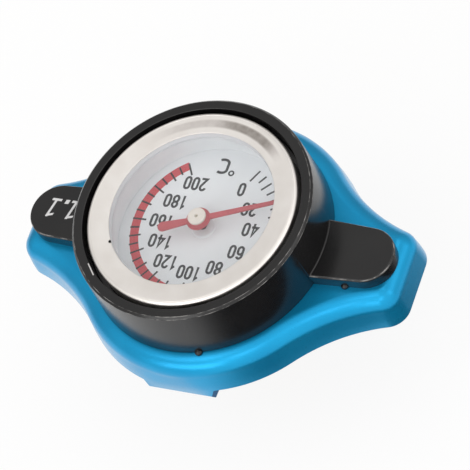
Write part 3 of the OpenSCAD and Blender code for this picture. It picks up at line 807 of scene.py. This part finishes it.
# %% Scale marks and red band
scale_start, scale_step, scale_end = 241.0, 1.5, 200
mark_out, long_in, middle_in, short_in = 13.38, 10.88, 11.28, 11.72
band_in, band_out, band_from, band_to = 12.15, 13.72, 100, 198.5
mark_w, band_t, ink_t, layer_t = 0.32, 0.015, 0.03, 0.002
band_at, marks_at, marks_slip = (-0.36, -0.37), (0.07, -0.20), 0.5


def scale_angle(value):
    return scale_start - scale_step * value


def make_marks():
    mesh = bmesh.new()
    for value in range(0, scale_end + 1, 5):
        inner = long_in if value % 20 == 0 else middle_in if value % 10 == 0 else short_in
        turn = Matrix.Rotation(math.radians(scale_angle(value) + marks_slip), 2)
        bar = oblong(inner, -mark_w / 2, mark_out, mark_w / 2)
        slab(mesh, [tuple(turn @ Vector(p) + Vector(marks_at)) for p in bar], dial_z, dial_z + ink_t)
    return finish_mesh("scale_marks", mesh)


def make_band():
    mesh = bmesh.new()
    ends = scale_angle(band_from), scale_angle(band_to)
    outline = arc(band_at, band_out, *ends, 90) + arc(band_at, band_in, ends[1], ends[0], 90)
    slab(mesh, outline, dial_z, dial_z + band_t)
    return finish_mesh("red_band", mesh)


dress(make_band(), "cap", "pointer_red", finish=red_ink.material)
dress(make_marks(), "cap", "black_plastic", finish=ink.material)

# %% [markdown]
# Blender's text objects could write the figures, but the dial's figures are narrow and bold. A figure
# is therefore a few pen strokes: straights and arcs in a box one unit wide and two units high, widened
# to a band of ink.


# %% Strokes for figures
def bowl(low, high, start=0, end=360):
    """A pen path round an upright oval with straight sides, from one angle to another."""
    path = []
    half = (high - low) / 2 - 0.5
    for k in range(37):
        t = math.radians(start + (end - start) * k / 36)
        lift = half if math.sin(t) > 1e-6 else -half if math.sin(t) < -1e-6 else 0
        path.append((0.5 * math.cos(t), (low + high) / 2 + lift + 0.5 * math.sin(t)))
    return path


STROKES = {
    "0": [bowl(-1, 1)],
    "1": [[(-0.36, 0.62), (-0.1, 0.72), (0.12, 1.0), (0.12, -1.16)]],
    "2": [bowl(0.0, 1.0, 170, -30) + [(-0.46, -1.0), (0.64, -1.0)]],
    "4": [[(0.66, -0.5), (-0.56, -0.5), (0.22, 1.0), (0.22, -1.16)]],
    "6": [bowl(-1, 0.28), bowl(-1, 1, 25, 180) + [(-0.5, -0.4)]],
    "8": [bowl(0.05, 1.0), bowl(-1, 0.07)],
    "C": [bowl(-1, 1, 48, 312)],
}
print("strokes for", "".join(STROKES))


# %% Pen for figures
def pen(mesh, path, width, low, high):
    """A band of ink along a path."""
    spots = [Vector(p) for p in path]
    closed = (spots[0] - spots[-1]).length < 1e-4
    if closed:
        spots.pop()
    count = len(spots)
    sides = []
    for i, spot in enumerate(spots):
        before = spots[i - 1] if closed or i > 0 else spot * 2 - spots[1]
        after = spots[(i + 1) % count] if closed or i < count - 1 else spot * 2 - spots[i - 1]
        come = (spot - before).normalized()
        go = (after - spot).normalized()
        along = (come + go).normalized()
        reach = width / 2 / max(along.dot(come), 0.45)
        across = Vector((-along.y, along.x)) * reach
        sides.append((spot + across, spot - across))
    rings = [[(a.x, a.y, low), (a.x, a.y, high), (b.x, b.y, high), (b.x, b.y, low)] for a, b in sides]
    skin(mesh, rings, closed=closed)


def add_text(mesh, text, centre, size, pitch, stroke):
    """Figures in a row, centred at a point of the dial. Size is (width, height) from outside to outside."""
    for number, letter in enumerate(text):
        x = centre[0] + (number - (len(text) - 1) / 2) * pitch
        for layer, path in enumerate(STROKES[letter]):
            wide, half_high = size[0] - stroke, (size[1] - stroke) / 2
            flat = [(x + px * wide, centre[1] + py * half_high) for px, py in path]
            pen(mesh, flat, stroke, dial_z, dial_z + ink_t + layer_t * layer)


print("pen helpers: pen, add_text")

# %% Figures
figure_size, figure_pitch, figure_stroke = (1.32, 2.6), 1.5, 0.42
figure_places = {
    0: (-4.23, -8.0), 20: (-6.93, -4.45), 40: (-8.43, -0.7), 60: (-7.38, 3.75), 80: (-4.58, 7.2),
    100: (-0.38, 8.75), 120: (4.42, 7.35), 140: (6.82, 3.75), 160: (8.02, -0.05), 180: (6.87, -4.1),
    200: (4.47, -7.95),
}
figures = bmesh.new()
for value, place in figure_places.items():
    add_text(figures, str(value), place, figure_size, figure_pitch, figure_stroke)
unit_at, unit_size, unit_stroke = (0.77, -11.95), (2.45, 3.05), 0.48
add_text(figures, "C", unit_at, unit_size, 0, unit_stroke)
degree_r, degree_at, degree_stroke = 0.42, (-1.23, -10.8), 0.28
pen(figures, arc(degree_at, degree_r, 0, 360, 24), degree_stroke, dial_z, dial_z + ink_t)
dress(finish_mesh("figures", figures), "cap", "black_plastic", finish=ink.material)

# %% [markdown]
# ## Pointer
# A red blade with a raised round hub and a short tail is pressed onto the spindle, and a cream button
# covers it. A stretched box could stand for the blade, but its waist at the hub would be missing. So
# its outline is one closed line of straights and arcs, given a thickness and a soft edge, and hub and
# button are turned.

# %% Pointer
pointer_turn = scale_angle(26)
pointer_low, pointer_high = heights("pointer")
pointer_t, hub_r, blade_len, blade_root, blade_tip = 0.35, 2.12, 13.6, 0.53, 0.36
tail_len, tail_root, tail_end, boss_r, hub_rise = 6.3, 0.55, 0.9, 0.75, 0.4
button_r = outer_radius("pointer_cap") - 0.07
blade_turn = math.degrees(math.asin(blade_root / hub_r))
tail_turn = math.degrees(math.asin(tail_root / hub_r))
upper = arc((0, 0), hub_r, blade_turn, 180 - tail_turn, 40)
lower = arc((0, 0), hub_r, 180 + tail_turn, 360 - blade_turn, 40)
tail = arc((-tail_len, 0), tail_end, 90, 270, 20)
outline = [(blade_len, blade_tip)] + upper + tail + lower + [(blade_len, -blade_tip)]
turn = Matrix.Rotation(math.radians(pointer_turn), 2)
blade = bmesh.new()
slab(blade, [tuple(turn @ Vector(p)) for p in outline], pointer_high - pointer_t, pointer_high)
pointer = finish_mesh("pointer_blade", blade)
bevel_edges(pointer, 0.08, 2)
dress(flat_normals(pointer), "pointer", "pointer_red", "pointer")
cap_low = pointer_high + hub_rise
cap_high = heights("pointer_cap")[1] + hub_rise
boss_hole_r, hub_edge_r = 0.47, hub_r - 0.1
boss_profile = soften([
    (boss_hole_r, pointer_low), (boss_r, pointer_low), (boss_r, pointer_high), (hub_edge_r, pointer_high),
    (button_r, cap_low), (boss_hole_r, cap_low)], 0.08)
dress(turn_piece("pointer_boss", boss_profile, 96), "pointer", "pointer_red")

dimple_r = 0.28
button_profile = soften([(dimple_r, cap_low), (button_r, cap_low), (button_r, cap_high - 0.05),
                         (button_r - 0.4, cap_high), (dimple_r, cap_high)], 0.12)
dress(turn_piece("pointer_button", button_profile, 96), "pointer", "cream_plastic", "pointer_cap")

# %% [markdown]
# ## Plain number on the tab
# One tab carries its pressure, 1.1, in white. A text object would bring a typeface of its own, while
# these figures are plain slanted bars: a stem, a flag and a foot make a figure one.

# %% Number on the tab
number_slant, number_h, stroke = 0.24, 3.7, 0.44
number_low_y, number_z, number_t, number_layer_t = -2.25, 6.1, 0.03, 0.004
figure_xs, dot_x, dot_left, dot_right, dot_h = (29.75, 25.85), 27.55, -0.35, 0.4, 0.8


def slanted(points, x):
    return [(x + px + number_slant * (py - number_low_y), py) for px, py in points]


def add_one(mesh, x):
    low, high = number_low_y, number_low_y + number_h
    stem = oblong(-stroke / 2, low, stroke / 2, high)
    foot = oblong(-1.0, low, 0.85, low + 0.45)
    flag = [(-1.05, high - 0.85), (stroke / 2, high - 0.45), (stroke / 2, high), (-1.05, high - 0.4)]
    for number, part in enumerate((stem, foot, flag)):
        slab(mesh, slanted(part, x), number_z, number_z + number_t + number_layer_t * number)


number = bmesh.new()
for figure_x in figure_xs:
    add_one(number, figure_x)
dot = oblong(dot_left, number_low_y, dot_right, number_low_y + dot_h)
slab(number, slanted(dot, dot_x), number_z, number_z + number_t)
dress(finish_mesh("pressure_number", number), "cap", "dial_white", finish=white_ink.material)

# %% [markdown]
# ## Springs
# Both springs are wound from round wire, with flat closed ends that sit in their seats. A curve with a
# bevel could be used, but a piece that is squashed by a joint has to be a mesh, so a small function
# sweeps a circle along the helix. The rise starts and ends slowly, which closes the end coils.


# %% Springs
def make_spring(name, radius, wire, low, high, curls, closed_turns=0.8):
    """A wire wound between two heights: a closed coil, the free curls, and a closed coil again."""
    mesh = bmesh.new()
    total = curls + 2 * closed_turns
    steps = int(total * 48)
    start, end = low + wire / 2, high - wire / 2
    lead = wire * 1.08 * closed_turns
    rise = end - start - 2 * lead
    section = [(radius + wire / 2 * math.cos(s), wire / 2 * math.sin(s)) for s in circle(14)]
    rings = []
    for i in range(steps + 1):
        t = total * i / steps
        first = lead * min(t / closed_turns, 1)
        free = rise * min(max((t - closed_turns) / curls, 0), 1)
        last = lead * max((t - total) / closed_turns + 1, 0)
        z = start + first + free + last
        a = t * 2 * math.pi
        rings.append([(r * math.cos(a), r * math.sin(a), z + h) for r, h in section])
    skin(mesh, rings)
    return finish_mesh(name, mesh, crease=50)


spring_r, spring_wire, spring_curls = 11.2, 1.6, 3.2
spring_low, spring_high = heights("main_spring")
main_spring = make_spring("valve_spring", spring_r, spring_wire, spring_low, spring_high, spring_curls)
dress(main_spring, "cap", "spring_steel", "main_spring")
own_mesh(main_spring)

light_r, light_wire, light_curls = 5.5, 0.4, 2.0
light_low, light_high = heights("vacuum_spring")
light_spring = make_spring("light_spring", light_r, light_wire, light_low, light_high, light_curls)
dress(light_spring, "pressure_valve", "spring_steel", "vacuum_spring")
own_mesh(light_spring)

# %% [markdown]
# ## Valve and probe
# Below the cap the rubber seals, the brass probe and the little vacuum valve show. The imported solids
# could be shown as they are, but rubber lips and turned brass have rounded edges, so these are turned
# again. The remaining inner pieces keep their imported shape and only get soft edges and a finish.

# %% Seals and vacuum valve
plate_low, plate_high = -15.4, -14.6
seal_face, seal_r, land_r, seal_wrap_r, plate_r, plate_hole_r = -17.0, 14.0, 11.2, 12.8, 13.4, 5.0
recess_z, wrap_z = -16.4, -14.2
seal_profile = soften([
    (plate_hole_r, plate_low), (plate_hole_r, recess_z), (land_r - 0.4, recess_z), (land_r, seal_face),
    (seal_r, seal_face), (seal_r, wrap_z), (seal_wrap_r, wrap_z), (seal_wrap_r, plate_high),
    (plate_r, plate_high), (plate_r, plate_low)], 0.18)
dress(turn_piece("valve_seal", seal_profile), "pressure_valve", "black_rubber", "main_seal")

top_low, top_high = heights("top_seal")
top_out, top_in = outer_radius("top_seal"), 13.3
top_profile = soften(oblong(top_in, top_low, top_out, top_high), 0.25)
dress(turn_piece("neck_seal", top_profile), "cap", "black_rubber", "top_seal")

valve_low, valve_high = heights("vacuum_valve")
flange_r, flange_z, sleeve_in, sleeve_r, sleeve_lip = 7.6, -16.5, 3.1, 4.3, 0.4
valve_profile = soften([
    (sleeve_in, valve_low), (flange_r, valve_low), (flange_r, flange_z), (sleeve_r, flange_z),
    (sleeve_r, valve_high - 0.15), (sleeve_r + sleeve_lip, valve_high - 0.15),
    (sleeve_r + sleeve_lip, valve_high), (sleeve_in, valve_high)], 0.12)
dress(turn_piece("inlet_valve", valve_profile), "vacuum_valve", "brass", "vacuum_valve")

# %% Probe
stem_r, thread_r, bore_r, stem_flange_r, stem_top, stem_flange_z = 3.0, 4.0, 2.3, 5.5, 6.8, 5.8
thread_foot, tube_foot, tip_z, plug_top, plug_r, tip_round = -3.3, -30.0, -31.0, -27.5, bore_r - 0.05, 0.5
tube_profile = soften([
    (bore_r, stem_top), (stem_flange_r, stem_top), (stem_flange_r, stem_flange_z),
    (thread_r, stem_flange_z), (thread_r, thread_foot), (stem_r, thread_foot - 1),
    (stem_r, tube_foot), (bore_r, tube_foot)], 0.1)
dress(turn_piece("probe_tube", tube_profile, 96), "cap", "brass", "stem_tube")
plug_profile = soften([
    (0, plug_top), (plug_r, plug_top), (plug_r, tube_foot), (stem_r, tube_foot),
    (stem_r, tip_z + tip_round), (stem_r - tip_round, tip_z), (0, tip_z)], 0.15)
dress(turn_piece("probe_tip", plug_profile, 96), "cap", "brass", "stem_plug")

# %% Inner pieces that keep their imported shape
# The spindle and the bush under the hub take the dark steel instead of their own metal, as painted shade.
painted_shade_parts = {"spindle": shade_steel.material, "upper_bush": shade_steel.material}
kept = {row["node"]: row["material_slot"] for row in frame["record"]["subparts"]}
for name, node in sorted(frame["nodes"].items()):
    if node.hide_render:
        continue
    node.data.materials.clear()
    node.data.materials.append(painted_shade_parts.get(name) or FINISHES[kept[name]])
    weld = node.modifiers.new("weld", "WELD")
    weld.merge_threshold = 0.001 * MM
    bevel_edges(node, 0.06, 2, crease=40).harden_normals = True
    print("kept", name, "in", kept[name])

# %% [markdown]
# ## Studio
# The photo is a soft white set. A white sky alone would look flat, so it is brighter on the camera's
# side, and five softboxes add shape: one above, two in front, one at the side and a weak one behind.
# The floor is white to the eye and in reflections, by a mix that still lets the object's shadow
# through.

# %% Floor
floor_data = bmesh.new()
floor_half, floor_low, floor_top = 3000.0, -33.0, -31.0
slab(floor_data, oblong(-floor_half, -floor_half, floor_half, floor_half), floor_low, floor_top)
floor = finish_mesh("floor", floor_data)
paper = Finish("pale_paper", Roughness=0.8, Specular_IOR_Level=0.1)
paper.colour(paper.noise(2, 3), (0.90, 0.90, 0.90), (0.93, 0.93, 0.93))
path = paper.node("LightPath")
seen = path.outputs["Is Camera Ray"]
for ray in ("Is Glossy Ray", "Is Transmission Ray"):
    seen = paper.calc("MAXIMUM", seen, path.outputs[ray])
white_share = 0.85
share = paper.calc("MULTIPLY", seen, white_share)
white = paper.node("Emission", [("Color", (1, 1, 1, 1)), ("Strength", 1.0)]).outputs["Emission"]
paper.blend(share, paper.shader.outputs["BSDF"], white)
floor.data.materials.append(paper.material)
print("floor at z =", floor_top, "mm")

# %% Sky
world = bpy.data.worlds.new("studio")
bpy.context.scene.world = world
world.use_nodes = True
sky = Nodes(world.node_tree)
background = sky.nodes["Background"].inputs
background["Color"].default_value = (1.0, 0.985, 0.97, 1.0)
bright_side = Vector((-0.50, 0.50, 0.72)).normalized()
sky_dim, sky_bright, dim_from, bright_from = 0.36, 1.2, -0.5, 1.0
look = sky.node("TexCoord").outputs["Generated"]
facing = sky.vector("DOT_PRODUCT", look, bright_side, out="Value")
sky.links.new(sky.ramp(facing, dim_from, bright_from, sky_dim, sky_bright), background["Strength"])
print("sky from", sky_dim, "to", sky_bright, "towards", [round(c, 2) for c in bright_side])


# %% Lamps
def softbox(name, towards, distance, width, height, radiance):
    """An area lamp in a direction from the object, facing it, as bright as a mirror would show it."""
    data = bpy.data.lights.new(name, "AREA")
    data.shape = "RECTANGLE"
    data.size = width
    data.size_y = height
    data.energy = radiance * math.pi * width * height
    lamp = bpy.data.objects.new(name, data)
    bpy.context.collection.objects.link(lamp)
    direction = Vector(towards).normalized()
    lamp.location = direction * distance
    lamp.rotation_euler = direction.to_track_quat("Z", "Y").to_euler()
    print(name, "from", [round(c, 2) for c in direction])


softbox("key", (0.28, 0.33, 0.90), 0.7, 0.28, 0.28, 1.25)
softbox("front_low", (0.20, 0.877, 0.44), 0.6, 0.38, 0.26, 1.6)
softbox("front", (-0.22, 0.60, 0.77), 0.8, 0.26, 0.22, 1.3)
softbox("side", (-0.75, -0.20, 0.63), 0.8, 0.36, 0.36, 0.7)
softbox("back", (0.02, -0.42, 0.91), 0.7, 0.26, 0.26, 0.8)

# %% [markdown]
# The side of the housing that faces the camera is nearly black in the photo, although the floor is
# white. There a studio flag, a black card beside the set, shows in the gloss. It is kept out of the
# camera's sight and throws no shadow, so only reflections know of it.

# %% Black flag
flag_in, flag_out = 44.0, 100.0
fade_from, dark_from, dark_to, fade_to = 86.0, 130.0, 165.0, 228.0
flag_mesh = bmesh.new()
flag_edge = arc((0, 0), flag_in, fade_from, fade_to, 60) + arc((0, 0), flag_out, fade_to, fade_from, 60)
slab(flag_mesh, flag_edge, floor_top + 0.1, floor_top + 0.5)
flag = finish_mesh("flag", flag_mesh)
felt = Finish("black_felt", Roughness=0.9, Specular_IOR_Level=0.1)
felt.colour(felt.noise(1.5, 3), (0.022, 0.022, 0.022), (0.032, 0.032, 0.032))
cover = felt.window(felt.around(90), fade_from - 90, dark_from - 90, dark_to - 90, fade_to - 90)
clear = felt.node("BsdfTransparent").outputs["BSDF"]
felt.blend(cover, clear, felt.shader.outputs["BSDF"])
flag.data.materials.append(felt.material)
flag.visible_camera = False
flag.visible_diffuse = False
flag.visible_shadow = False
flag.visible_transmission = False
print("flag from", fade_from, "to", fade_to, "degrees round the cap")

# %% [markdown]
# ## Picture
# The picture is kept plain, in the Standard view transform without a filmic look, so that a colour
# shows about as it is written.

# %% Picture
bpy.context.scene.view_settings.view_transform = "Standard"
